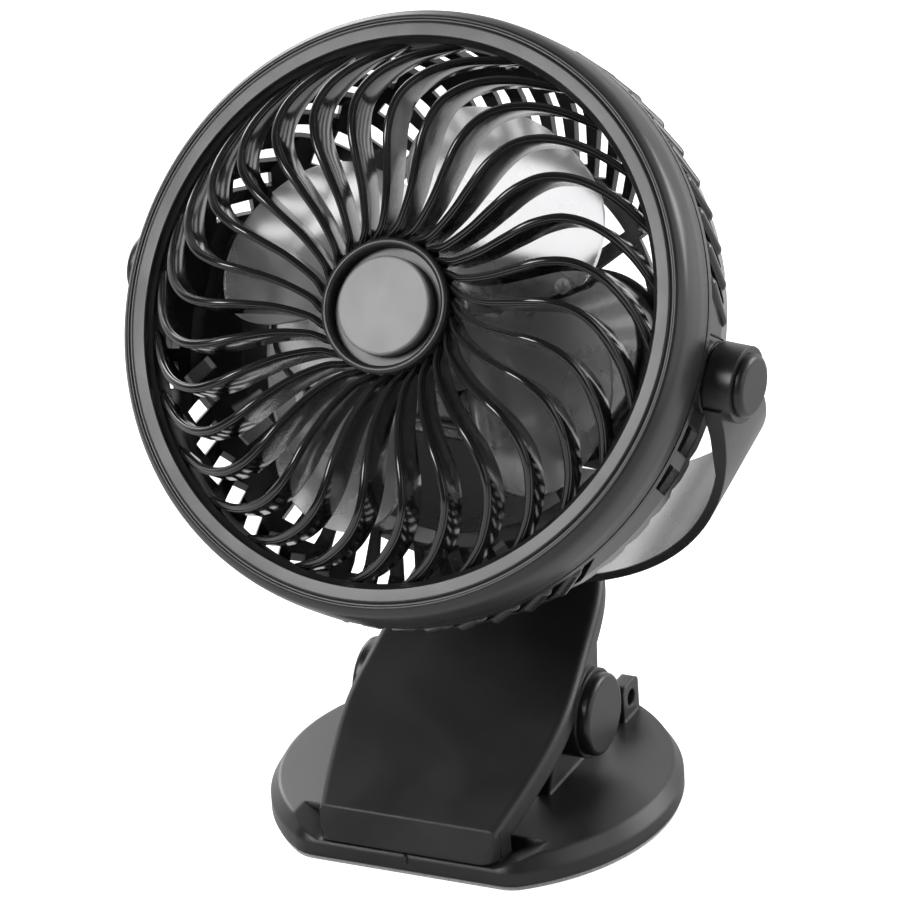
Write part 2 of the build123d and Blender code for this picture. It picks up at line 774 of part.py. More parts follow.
# ---- Rear cage ----
def cage_floor():
    """The inner face of the cage's back, from the middle outwards, as (radius, z) points."""
    back = cage_back_radius
    return [
        (0, cage_back_z), (back_inner, cage_back_z), (back - 8, cage_back_z + 1.3),
        (back + 1.6, cage_back_z + 4.2),
    ]


def cage_inner_wall(inset):
    """The inner face of the cage's side wall, drawn in by inset, from back to front."""
    inner = cage_side - cage_wall - inset
    return [
        (inner - 1.6, cage_shoulder_z - 5.4), (inner - 0.4, cage_shoulder_z), (inner, cage_front - 2.3),
        (inner, cage_front),
    ]


def cage_skin():
    """The bowl-shaped shell that the windows are cut from."""
    side, back = cage_side, cage_back_radius
    corner_radius, corner_z = side - 4.6, cage_shoulder_z - 11.0
    outer = [
        (rim_side, cage_front), (rim_side, cage_front - 1.8), (side, cage_front - 2.3),
        (side - 0.4, cage_shoulder_z), (side - 1.6, cage_shoulder_z - 6.0), (corner_radius, corner_z),
        (back + 2.5, cage_back_z + 2.2), (back - 8, cage_back_z - 0.8), (back_inner, housing_front),
        (0, housing_front),
    ]
    collar_outer = rim_side - rim_wall - 0.2
    collar_inner = rim_side - 2 * cage_wall - 0.4
    collar_top = cage_front + 4
    corner = [(corner_radius - 1.6, corner_z + 1.6)]
    collar = [(collar_inner, collar_top), (collar_outer, collar_top), (collar_outer, cage_front)]
    return lathe(outer + cage_floor() + corner + cage_inner_wall(0) + collar)


def folded(angle):
    """The angle above the nearer pivot, the same on the left and right of the head."""
    return math.degrees(math.asin(math.sin(math.radians(angle))))


def wall_has_rib(angle):
    """Whether the side wall has slots and ribs here: above the pivots and below the plain bands."""
    above = folded(angle)
    return above > pivot_block or above < plain_band


def clear_of_pivot(angle):
    """Whether the wall is open here: everywhere but next to the pivots."""
    return abs(folded(angle)) > pivot_block


def in_side_sector(angle):
    """Whether this part of the cage's back lies between the spokes at the left or right."""
    return pivot_block < abs(folded(angle)) < back_spoke_angle


def in_end_sector(angle):
    """Whether this part of the cage's back lies between the spokes at the top or bottom."""
    return abs(folded(angle)) > back_spoke_angle


def window_row(size, middle, slope, lean, keep):
    """A ring of leaning windows in one row of the cage."""
    length, width = size
    radius, level = middle
    step = 360 / cage_bar_count
    pane = Rot(0, slope, 0) * Rot(lean, 0, 0) * Box(12, width, length)
    angles = [cage_bar_phase + step * (i + 0.5) for i in range(cage_bar_count)]
    return [Rot(0, 0, angle) * Pos(radius, 0, level) * pane for angle in angles if keep(angle)]


def low_windows():
    """The two plain windows in the side wall below each pivot."""
    length, width = low_window
    radius, level = low_window_middle
    pane = Pos(radius, 0, level) * Rot(-8, 0, 0) * Box(12, width, length)
    right = [Rot(0, 0, angle) * pane for angle in low_window_angles]
    left = [Rot(0, 0, 180 - angle) * pane for angle in low_window_angles]
    return right + left


def cage_windows():
    """Rows of leaning windows in the side wall, the shoulder and the back."""
    side = window_row(side_window, side_window_middle, 0, side_lean, wall_has_rib)
    shoulder = window_row(shoulder_window, shoulder_window_middle, 31, shoulder_lean, clear_of_pivot)
    back = window_row(back_window, back_window_middle, 66, back_lean, in_side_sector)
    long = window_row(long_window, long_window_middle, 69, back_lean, in_end_sector)
    return side + low_windows() + shoulder + back + long


def cage_ribs():
    """Proud rounded ribs on the bars between the side wall's windows."""
    radius, level = cage_rib_middle
    half = cage_rib_length / 2
    rib = Cylinder(cage_rib_radius, cage_rib_length)
    rib = rib + Pos(0, 0, half) * Sphere(cage_rib_radius) + Pos(0, 0, -half) * Sphere(cage_rib_radius)
    rib = Rot(0, cage_rib_slope, 0) * Rot(side_lean, 0, 0) * rib
    step = 360 / cage_bar_count
    angles = [cage_bar_phase + step * i for i in range(cage_bar_count)]
    return [Rot(0, 0, angle) * Pos(radius, 0, level) * rib for angle in angles if wall_has_rib(angle)]


def pod_outline(grow):
    """The oval outline of the motor compartment, grown all round."""
    return RectangleRounded(2 * (pod_half_width + grow), 2 * (pod_half_height + grow), pod_corner + grow)


def spoke_windows():
    """The open middle of the cage's back, crossed by four spokes and one ring."""
    sectors = (Circle(back_outer) - Circle(back_ring)) & Rectangle(3 * back_outer, 2 * back_sector)
    field = sectors + Circle(back_ring - back_ring_width) - pod_outline(1.5)
    for angle in (back_spoke_angle, 180 - back_spoke_angle):
        field = field - Rot(0, 0, angle) * Rectangle(2.2 * back_outer, back_spoke_width)
    panes = Pos(0, 0, cage_back_z - 12) * extrude(field, 24)
    return [pane for pane in panes.solids() if pane.volume > 300]


def pivot_pad(side):
    """The pad on the cage's side that carries a tilt pivot, with its shaft."""
    middle = Pos(0, pivot_above_axis, -pivot_behind_rim)
    pad = turned(boss_radius - 0.4, cage_side - 5, friction_gap, side)
    shaft = turned(pivot_shaft_radius, friction_gap - 1, boss_start + boss_length - 2.0, side)
    return middle * (pad + shaft)


def rear_cage():
    """Flange, ribbed side wall, ringed back and the two pivot pads, moulded in one."""
    shell = cage_skin().fuse(*[pivot_pad(side) for side in (-1, 1)])
    shell = shell.cut(*cage_windows(), *spoke_windows())
    shell = shell.fuse(*cage_ribs())
    inner_face = pod_front_z - pod_wall
    for x, y in cover_screw_places():
        boss = upright(cover_boss, cage_back_z - overrun, inner_face)
        hole = upright(screw_shank, inner_face - cover_screw_length, inner_face + overrun)
        shell = shell + Pos(x, y, 0) * (boss - hole)
    wall = cage_inner_wall(rib_trim)
    shell = shell - lathe([(0, wall[0][1]), *wall, (0, cage_front)])
    shell = shell - upright(motor_radius + 1, housing_front - overrun, cage_back_z + overrun)
    for x, y in screw_places():
        hole = upright(screw_shank + screw_gap, housing_front - overrun, cage_back_z + overrun)
        shell = shell - Pos(x, y, 0) * hole
    for side in (-1, 1):
        hole = turned(pivot_screw_shank, boss_start - 3, boss_start + boss_length, side)
        shell = shell - Pos(0, pivot_above_axis, -pivot_behind_rim) * hole
    low, high = cage_shoulder_z - 3, cage_front - 3.5
    groove = block(-rim_side, rim_side, block_groove, block_groove + block_groove_width, low, high)
    return shell - (groove - upright(cage_side - block_groove_depth, low - overrun, high + overrun))


# ---- Motor compartment and motor ----
def screw_places():
    """The four long screws that hold rear housing, cage and motor cover together."""
    return [(sx * screw_x, sy * screw_y) for sx in (-1, 1) for sy in (-1, 1)]


def cover_screw_places():
    """The four screws that hold the motor cover to the cage."""
    return [(sx * cover_screw_x, sy * cover_screw_y) for sx in (-1, 1) for sy in (-1, 1)]


def cage_seat():
    """The space behind the cage's rising inner face, which the motor cover's edge is cut to."""
    floor = cage_floor()
    return lathe([(0, cage_back_z - 2), *floor, (floor[-1][0], cage_back_z - 2)])


def motor_cover():
    """The oval cover, inside the cage, that holds the motor."""
    cover = Pos(0, 0, cage_back_z - 1) * extrude(pod_outline(0), pod_front_z - cage_back_z + 1)
    cover = fillet(cover.edges().group_by(Axis.Z)[-1], pod_round)
    depth = pod_front_z - pod_wall - cage_back_z + 2
    cover = cover - Pos(0, 0, cage_back_z - 2) * extrude(pod_outline(-pod_wall), depth)
    sleeve = upright(motor_radius + pod_wall + slide_gap, motor_front_z - 6, pod_front_z - 1)
    sleeve = sleeve - upright(motor_radius + slide_gap, motor_front_z - 7, motor_front_z)
    cover = cover + sleeve
    for x, y in screw_places():
        post = upright(screw_post, cage_back_z - 1, pod_front_z - 1)
        cover = cover + Pos(x, y, 0) * (post - upright(screw_shank, cage_back_z - 2, screw_tip + 1))
    for x, y in cover_screw_places():
        hole = upright(screw_shank + screw_gap, pod_front_z - 2 * pod_wall, pod_front_z + overrun)
        cover = cover - Pos(x, y, 0) * hole
    for angle in (0, 180):
        hole = upright(motor_screw_shank + screw_gap, motor_front_z - 1, pod_front_z + 1)
        cover = cover - Rot(0, 0, angle) * Pos(motor_screw_radius, 0, 0) * hole
    return cover - upright(bearing_radius + slide_gap, motor_front_z - 1, pod_front_z + 1) - cage_seat()


def cage_screws():
    """The four long screws, put in from behind."""
    seat = housing_back + screw_sunk
    driven = screw(screw_head, screw_shank, screw_tip - seat)
    return [Pos(x, y, seat) * driven for x, y in screw_places()]


def cover_screws():
    """The four screws seen through the grille, with heads on the motor cover's front."""
    driven = Rot(180, 0, 0) * screw(cover_screw_head, screw_shank, cover_screw_length)
    return [Pos(x, y, pod_front_z) * driven for x, y in cover_screw_places()]


def motor_screws():
    """The two short screws that hold the motor, put in from the front."""
    driven = Rot(180, 0, 0) * screw(1.6, motor_screw_shank, 3.2)
    return [Rot(0, 0, angle) * Pos(motor_screw_radius, 0, pod_front_z) * driven for angle in (0, 180)]


def motor_can():
    """The motor's steel can, closed at the front, with a raised nose for the front bearing."""
    front, back = motor_front_z, motor_back
    can = upright(motor_radius, back, front) - upright(motor_radius - 1, back - 1, front - 1)
    can = fillet(can.edges().group_by(Axis.Z)[-1], 0.4)
    nose = upright(bearing_radius, front - 1, front + 1.4)
    can = can + nose - upright(bearing_radius - 1, front - 3, front + 3)
    for angle in (0, 180):
        hole = upright(motor_screw_shank, front - 2, front + 1)
        can = can - Rot(0, 0, angle) * Pos(motor_screw_radius, 0, 0) * hole
    return can


def motor_end_cap():
    plate = upright(motor_radius, motor_back - 1.2, motor_back)
    plate = plate + upright(motor_radius - 1.1, motor_back, motor_back + 1)
    return plate - upright(shaft_radius + running_gap, motor_back - 2, motor_back + 2)


def motor_bearing():
    """The bronze bush pressed into the can's nose."""
    bush = upright(bearing_radius - 1.02, motor_front_z - 1, motor_front_z + 1.4)
    return bush - upright(shaft_radius + running_gap, motor_front_z - 3, motor_front_z + 3)


def motor_magnets():
    """Two curved magnets inside the can."""
    ring = upright(motor_radius - 1.05, motor_back + 1.2, motor_front_z - 1.4)
    ring = ring - upright(motor_radius - 3.2, motor_back, motor_front_z)
    return ring - block(-3, 3, -20, 20, motor_back, motor_front_z)


def motor_rotor():
    """The wound armature on the shaft."""
    core = upright(motor_radius - 3.7, motor_back + 2.0, motor_front_z - 2.2)
    for i in range(3):
        slot = block(5.2, 12, -1.0, 1.0, motor_back, motor_front_z)
        core = core - Rot(0, 0, 120 * i) * slot
    return core - upright(shaft_radius, motor_back, motor_front_z)


def motor_shaft():
    return upright(shaft_radius, motor_back - 1.0, impeller_hub_back + 13)


# ---- Impeller ----
def blade():
    """One blade: a leaf-shaped outline on a screw-shaped sheet, whose pitch falls towards its tip."""
    stations = [9.0, 16.0, 26.0, 40.0, blade_tip + 3]
    sections = []
    for radius in stations:
        slope = math.degrees(math.atan(blade_rise / radius))
        half = 34.0 / math.cos(math.radians(slope))
        plane = Plane(origin=(radius, 0, blade_middle_z), x_dir=(0, 1, 0), z_dir=(1, 0, 0))
        sections.append(plane * Rot(0, 0, slope) * Rectangle(2 * half, blade_thickness))
    sheet = loft(sections)
    stretch = grille_inner / fins_drawn_to
    points = [
        (10.0, 7.0), (22.5, 13.2), (33.0, 20.3), (43.0, 20.8), (49.8, 15.4), (54.6, 2.0), (52.6, -11.0),
        (45.8, -21.3), (36.0, -25.0), (24.8, -23.6), (10.0, -11.0),
    ]
    edge = Spline(*[(x * stretch, y * stretch) for x, y in points])
    outline = make_face([edge, Line(edge @ 1, edge @ 0)])
    column = Pos(0, 0, blade_middle_z - 24) * extrude(outline, 48)
    return one_solid(sheet & column & upright(blade_tip, impeller_hub_back, impeller_hub_front + 3))


def impeller():
    """Four clear blades round a cup-shaped hub."""
    front, back = impeller_hub_front, impeller_hub_back
    cup = upright(impeller_hub_radius, back, front)
    cup = fillet(cup.edges().group_by(Axis.Z)[-1], 3.0)
    cup = cup - upright(impeller_hub_radius - impeller_hub_wall, back - 1, front - impeller_hub_wall)
    spigot = upright(spigot_radius, back + 1.5, front - 1)
    inside = upright(impeller_hub_radius - impeller_hub_wall, back, front)
    leaf = blade() - inside
    leaves = [Rot(0, 0, 360 / blade_count * i + blade_phase) * one_solid(leaf) for i in range(blade_count)]
    body = cup.fuse(spigot, *leaves)
    return body - upright(shaft_radius, back - 5, back + 13)


# ---- Rear housing ----
def rear_housing():
    """The box behind the cage that holds the battery and the board."""
    wide, tall, corner = housing_half_width, housing_half_height, housing_corner
    body = rounded_block(wide, tall, corner, housing_back, housing_front)
    body = fillet(body.edges().group_by(Axis.Z)[0], housing_round)
    inside = housing_back + housing_wall
    body = body - rounded_block(
        wide - housing_wall, tall - housing_wall, corner - housing_wall, inside, housing_front + overrun,
    )
    for x, y in screw_places():
        body = body + Pos(x, y, 0) * upright(screw_post, housing_back + 1, housing_front)
        recess = upright(screw_head + screw_gap, housing_back - overrun, housing_back + screw_sunk)
        hole = upright(screw_shank + screw_gap, housing_back, housing_front + overrun)
        body = body - Pos(x, y, 0) * (recess + hole)
    return body - door_opening() - back_holes()


def door_opening():
    """The opening behind the battery, with the step that its door lies in."""
    outside = housing_back - overrun
    wide, tall = door_half_width - door_ledge, door_half_height - door_ledge
    opening = rounded_block(wide, tall, door_corner, outside, housing_back + 9)
    step = rounded_block(door_half_width, door_half_height, door_corner, outside, housing_back + door_seat)
    return Pos(0, -battery_drop, 0) * (opening + step)


def back_holes():
    """The holes in the housing's back for the button, the lens and the charging socket."""
    low, high = housing_back - overrun, housing_back + housing_wall + overrun
    button = Pos(button_x, button_y, 0) * upright(button_radius + slide_gap, low, high)
    lens = Pos(lens_x, button_y, 0) * upright(lens_radius, low, high)
    slot = block(-usb_half_width, usb_half_width, -usb_half_height, usb_half_height, low, high)
    return [button, lens, Pos(usb_x, button_y, 0) * slot]


def battery():
    """One round cell lying across the housing, with its raised end."""
    half = battery_length / 2
    tip_radius, tip_height = battery_tip
    cell = turned(battery_radius, -half, half - tip_height)
    cell = fillet(cell.edges(), 0.6)
    tip = turned(tip_radius, half - tip_height - 0.1, half)
    return Pos(0, -battery_drop, battery_z) * (cell + tip)


def battery_contact(side):
    """A bent spring-steel strip at one end of the cell."""
    end = battery_length / 2
    plate = block(end, end + contact_thickness, -3.5, 3.5, -6, 6)
    clip = block(end + contact_thickness, housing_half_width - housing_wall, -1.4, 1.4, -0.4, 0.4)
    strip = plate + clip
    strip = strip if side > 0 else mirror(strip, Plane.YZ)
    return Pos(0, -battery_drop, battery_z) * strip


def circuit_board():
    board = rounded_block(board_half_width, board_half_height, 1.0, board_back, board_back + board_thickness)
    return Pos(0, housing_half_height - housing_wall - board_half_height - 0.6, 0) * board


def switch_body():
    """The small key switch on the board, under the button."""
    body = block(-switch_half, switch_half, -switch_half, switch_half, switch_face, board_back)
    return Pos(button_x, button_y, 0) * body


def power_button():
    """The round button: a domed face, a flange inside the housing and a stud over the switch."""
    face = housing_back - button_proud
    inside = housing_back + housing_wall + seat_gap
    cap = upright(button_radius, face, inside + 0.8)
    cap = fillet(cap.edges().group_by(Axis.Z)[0], 1.0)
    flange = upright(button_radius + button_flange, inside, inside + 0.8)
    stud = upright(1.6, inside, switch_face - button_travel - 0.1)
    return Pos(button_x, button_y, 0) * (cap + flange + stud)


def usb_socket():
    """The charging socket: a steel shell with a tongue inside."""
    low, high = housing_back + 0.3, board_back
    half_w, half_h = usb_half_width - 0.2, usb_half_height - 0.2
    shell = rounded_block(half_w, half_h, 1.0, low, high)
    shell = shell - rounded_block(half_w - 0.35, half_h - 0.35, 0.6, low - 1, high - 0.8)
    tongue = block(-3, 3, -0.35, 0.35, low + 1.0, high)
    return Pos(usb_x, button_y, 0) * (shell + tongue)


def indicator_lens():
    lens = upright(lens_radius - 0.05, housing_back - 0.3, housing_back + 3.0)
    return Pos(lens_x, button_y, 0) * lens


def battery_door():
    """A lift-off door in the rear housing, with a finger notch and a locating rim."""
    wide, tall, corner = door_half_width - slide_gap, door_half_height - slide_gap, door_corner - slide_gap
    plate = rounded_block(wide, tall, corner, housing_back, housing_back + door_seat - 0.05)
    lip = rounded_block(
        wide - door_ledge, tall - door_ledge, corner,
        housing_back + door_seat / 2, housing_back + housing_wall,
    )
    notch = rounded_block(1.2, 4.0, 0.8, housing_back - overrun, housing_back + 0.6)
    return Pos(0, -battery_drop, 0) * (plate + lip - Pos(door_half_width - 6, 0, 0) * notch)


def screw(head, shank, length):
    """A small cross-headed screw along z: the head below z = 0, the shank above."""
    body = upright(head, -1.6, 0) + upright(shank, 0, length)
    reach = 0.7 * head
    cross = block(-0.35, 0.35, -reach, reach, -2, -0.7) + block(-reach, reach, -0.35, 0.35, -2, -0.7)
    return body - cross


def export(name, pieces, frame):
    """Writes one node, placed in its frame: a single piece or a group of alike pieces."""
    pieces = pieces if isinstance(pieces, list) else [pieces]
    solids = [solid for piece in pieces for solid in (frame * piece).solids()]
    node = solids[0] if len(solids) == 1 else Compound(children=solids)
    export_step(node, f"parts/{name}.step")


def main():
    os.makedirs("parts", exist_ok=True)
    sides = {"left": -1, "right": 1}

    ground_pieces = {
        "foot_pad": foot_pad(), "base_plate": base_plate(), "lower_jaw_pad": lower_jaw_pad(),
        "clip_arm": clip_arm(), "upper_jaw_pad": upper_jaw_pad(), "hinge_pin": hinge_pin(),
        "clip_spring": clip_spring(),
    }
    yoke_pieces = {
        "yoke": yoke(), "swivel_ring": swivel_ring(), "swivel_washer": swivel_washer(),
        "swivel_screw": swivel_screw(),
    }
    head_pieces = {
        "front_grille": front_grille(), "hub_badge": hub_badge(), "rear_cage": rear_cage(),
        "motor_cover": motor_cover(), "motor_can": motor_can(), "motor_end_cap": motor_end_cap(),
        "motor_bearing": motor_bearing(), "motor_magnets": motor_magnets(), "motor_rotor": motor_rotor(),
        "motor_shaft": motor_shaft(), "motor_screws": motor_screws(), "cage_screws": cage_screws(),
        "cover_screws": cover_screws(),
        "impeller": impeller(), "rear_housing": rear_housing(), "battery": battery(),
        "circuit_board": circuit_board(), "switch_body": switch_body(), "power_button": power_button(),
        "usb_socket": usb_socket(), "indicator_lens": indicator_lens(), "battery_door": battery_door(),
    }
    for side_name, side in (("left", -1), ("right", 1)):
        ground_pieces[f"hinge_cap_{side_name}"] = hinge_cap(side)
        yoke_pieces[f"pivot_cap_{side_name}"] = pivot_cap(side)
        yoke_pieces[f"pivot_ring_{side_name}"] = pivot_ring(side)
        head_pieces[f"pivot_screw_{side_name}"] = pivot_screw(side)
        head_pieces[f"battery_contact_{side_name}"] = battery_contact(side)
    groups = [(Pos(0, 0, 0), ground_pieces), (yoke_frame, yoke_pieces), (head_frame, head_pieces)]
    for frame, pieces in groups:
        for name, piece in pieces.items():
            export(name, piece, frame)
    print(f"least gap of the clip's spring to itself: {spring_gap():.2f} mm")


if __name__ == "__main__":
    main()
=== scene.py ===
import json
import math

import bmesh
import bpy
import numpy as np
from mathutils import Matrix, Vector


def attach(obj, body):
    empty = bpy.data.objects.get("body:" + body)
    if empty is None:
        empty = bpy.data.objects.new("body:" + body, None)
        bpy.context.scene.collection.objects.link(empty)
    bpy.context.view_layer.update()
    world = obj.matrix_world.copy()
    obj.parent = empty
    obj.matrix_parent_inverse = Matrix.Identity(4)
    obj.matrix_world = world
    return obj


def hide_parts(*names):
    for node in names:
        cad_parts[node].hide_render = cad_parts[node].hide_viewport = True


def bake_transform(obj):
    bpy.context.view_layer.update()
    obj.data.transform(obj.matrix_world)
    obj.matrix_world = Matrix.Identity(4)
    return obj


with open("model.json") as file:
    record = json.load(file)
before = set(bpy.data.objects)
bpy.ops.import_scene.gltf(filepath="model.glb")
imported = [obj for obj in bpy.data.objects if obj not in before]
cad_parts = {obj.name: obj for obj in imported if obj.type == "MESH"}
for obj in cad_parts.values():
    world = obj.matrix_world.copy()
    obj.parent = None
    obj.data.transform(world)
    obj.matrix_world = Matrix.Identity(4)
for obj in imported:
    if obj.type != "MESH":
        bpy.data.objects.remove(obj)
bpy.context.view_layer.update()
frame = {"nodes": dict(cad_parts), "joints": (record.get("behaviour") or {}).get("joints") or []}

node = frame["nodes"]

# ---- Photographer's table ----
# A long lens from the front right, a little above the fan, level with a slight lean of the camera.
# The fan stands on a pale sheet in a white tent that is open overhead and towards the camera.
camera_turn = math.radians(26.19)
camera_rise = math.radians(26.63)
camera_roll = math.radians(-3.79)
camera_distance = 2.7213
camera_aim = Vector((-0.00151, 0.0, 0.09449))
lens = 451.7

backwards = Vector((
    math.sin(camera_turn) * math.cos(camera_rise),
    -math.cos(camera_turn) * math.cos(camera_rise),
    math.sin(camera_rise),
))
level_right = Vector((math.cos(camera_turn), math.sin(camera_turn), 0))
level_up = backwards.cross(level_right)
right = level_right * math.cos(camera_roll) + level_up * math.sin(camera_roll)
up = level_up * math.cos(camera_roll) - level_right * math.sin(camera_roll)
camera = bpy.data.objects.new("camera", bpy.data.cameras.new("camera"))
bpy.context.scene.collection.objects.link(camera)
camera.data.lens = lens
camera.data.sensor_width = 36
camera.data.clip_end = 20
turn = Matrix((right, up, backwards)).transposed().to_4x4()
camera.matrix_world = Matrix.Translation(camera_aim + backwards * camera_distance) @ turn
bpy.context.scene.camera = camera
bpy.context.scene.view_settings.view_transform = "Standard"


def put(tree, kind, **values):
    """Adds one shader node and sets its properties, or its inputs by name."""
    made = tree.nodes.new(kind)
    for name, value in values.items():
        label = name.replace("_", " ").title()
        if label in made.inputs:
            made.inputs[label].default_value = value
        else:
            setattr(made, name, value)
    return made


def lamp(name, place, aim, size, power):
    """A square soft lamp at a place, turned to an aim point."""
    data = bpy.data.lights.new(name, "AREA")
    data.energy = power
    data.size = size
    made = bpy.data.objects.new(name, data)
    bpy.context.scene.collection.objects.link(made)
    aim_line = Vector(aim) - Vector(place)
    made.matrix_world = Matrix.Translation(place) @ aim_line.to_track_quat("-Z", "Y").to_matrix().to_4x4()
    return made


middle = (0.0, 0.0, 0.11)
lamp("key_front_left", (-0.62, -1.02, 0.98), middle, 0.62, 13.0)
lamp("fill_right", (1.3, -0.2, 0.5), middle, 0.8, 2.6)
lamp("rim_back_right", (0.9, 0.9, 0.55), middle, 0.7, 9.0)
lamp("rim_back_left", (-0.9, 0.8, 0.6), middle, 0.7, 7.0)

# The tent's cloth is bright behind the fan and dim towards the camera and straight overhead. Seen
# directly or through the clear blades, it is plain white.
tent_dim, tent_bright = 0.07, 0.95
overhead_left = 0.12  # what is left of the cloth's light straight above

world = bpy.data.worlds.new("tent")
bpy.context.scene.world = world
world.use_nodes = True
tree = world.node_tree
tree.nodes.clear()
direction = put(tree, "ShaderNodeTexCoord")
split = put(tree, "ShaderNodeSeparateXYZ")
tree.links.new(direction.outputs["Generated"], split.inputs["Vector"])
behind = put(tree, "ShaderNodeMapRange", interpolation_type="SMOOTHSTEP")
behind.inputs["From Min"].default_value = -0.25
behind.inputs["From Max"].default_value = 0.35
tree.links.new(split.outputs["Y"], behind.inputs["Value"])
overhead = put(tree, "ShaderNodeMapRange", interpolation_type="SMOOTHSTEP")
overhead.inputs["From Min"].default_value = 0.55
overhead.inputs["From Max"].default_value = 0.92
overhead.inputs["To Min"].default_value = 1.0
overhead.inputs["To Max"].default_value = overhead_left
tree.links.new(split.outputs["Z"], overhead.inputs["Value"])
tent = put(tree, "ShaderNodeMath", operation="MULTIPLY")
tree.links.new(behind.outputs["Result"], tent.inputs[0])
tree.links.new(overhead.outputs["Result"], tent.inputs[1])
shade = put(tree, "ShaderNodeMapRange")
shade.inputs["To Min"].default_value = tent_dim
shade.inputs["To Max"].default_value = tent_bright
tree.links.new(tent.outputs["Value"], shade.inputs["Value"])
rays = put(tree, "ShaderNodeLightPath")
seen = put(tree, "ShaderNodeMath", operation="MAXIMUM")
tree.links.new(rays.outputs["Is Camera Ray"], seen.inputs[0])
tree.links.new(rays.outputs["Is Transmission Ray"], seen.inputs[1])
tent_light = put(tree, "ShaderNodeBackground")
tree.links.new(shade.outputs["Result"], tent_light.inputs["Strength"])
white = put(tree, "ShaderNodeBackground", strength=1.0)
white.inputs["Color"].default_value = (1, 1, 1, 1)
tent_light.inputs["Color"].default_value = (1, 1, 1, 1)
choose = put(tree, "ShaderNodeMixShader")
tree.links.new(seen.outputs["Value"], choose.inputs["Fac"])
tree.links.new(tent_light.outputs["Background"], choose.inputs[1])
tree.links.new(white.outputs["Background"], choose.inputs[2])
output = put(tree, "ShaderNodeOutputWorld")
tree.links.new(choose.outputs["Shader"], output.inputs["Surface"])

floor_mesh = bpy.data.meshes.new("paper_floor")
reach = 4.0
floor_mesh.from_pydata(
    [(-reach, -reach, 0), (reach, -reach, 0), (reach, reach, 0), (-reach, reach, 0)], [], [(0, 1, 2, 3)],
)
floor = bpy.data.objects.new("paper_floor", floor_mesh)
bpy.context.scene.collection.objects.link(floor)
paper = bpy.data.materials.new("paper_sheet")
paper.use_nodes = True
tree = paper.node_tree
shader = tree.nodes["Principled BSDF"]
shader.inputs["Base Color"].default_value = (0.86, 0.86, 0.86, 1)
shader.inputs["Roughness"].default_value = 0.9
shader.inputs["Specular IOR Level"].default_value = 0.1
glow = put(tree, "ShaderNodeLightPath")
seen = put(tree, "ShaderNodeMath", operation="MAXIMUM")
tree.links.new(glow.outputs["Is Camera Ray"], seen.inputs[0])
tree.links.new(glow.outputs["Is Transmission Ray"], seen.inputs[1])
lift = put(tree, "ShaderNodeMath", operation="MULTIPLY")
lift.inputs[1].default_value = 0.75
tree.links.new(seen.outputs["Value"], lift.inputs[0])
shader.inputs["Emission Color"].default_value = (1, 1, 1, 1)
tree.links.new(lift.outputs["Value"], shader.inputs["Emission Strength"])
floor_mesh.materials.append(paper)

# ---- Moulded skin, shared by the plastics ----
# Each plastic piece comes out of a steel mould with a fine spark-eroded grain, and its sheen
# varies where it has been handled. Both are worked out here for every plastic.


def skin_group():
    """Fine grain height and a soft handling mask, both from noise in the piece's own space."""
    group = bpy.data.node_groups.new("moulded_skin", "ShaderNodeTree")
    face = group.interface
    face.new_socket("Vector", in_out="INPUT", socket_type="NodeSocketVector")
    face.new_socket("Grain Size", in_out="INPUT", socket_type="NodeSocketFloat").default_value = 2600
    face.new_socket("Handling Size", in_out="INPUT", socket_type="NodeSocketFloat").default_value = 28
    face.new_socket("Grain", in_out="OUTPUT", socket_type="NodeSocketFloat")
    face.new_socket("Handling", in_out="OUTPUT", socket_type="NodeSocketFloat")
    entry = put(group, "NodeGroupInput")
    leave = put(group, "NodeGroupOutput")
    grain = put(group, "ShaderNodeTexNoise", detail=3.0, roughness=0.55)
    handling = put(group, "ShaderNodeTexNoise", detail=5.0, roughness=0.6, distortion=0.4)
    group.links.new(entry.outputs["Vector"], grain.inputs["Vector"])
    group.links.new(entry.outputs["Grain Size"], grain.inputs["Scale"])
    group.links.new(entry.outputs["Vector"], handling.inputs["Vector"])
    group.links.new(entry.outputs["Handling Size"], handling.inputs["Scale"])
    spread = put(group, "ShaderNodeMapRange", interpolation_type="SMOOTHSTEP")
    spread.inputs["From Min"].default_value = 0.35
    spread.inputs["From Max"].default_value = 0.7
    group.links.new(handling.outputs["Fac"], spread.inputs["Value"])
    group.links.new(grain.outputs["Fac"], leave.inputs["Grain"])
    group.links.new(spread.outputs["Result"], leave.inputs["Handling"])
    return group


moulded_skin = skin_group()


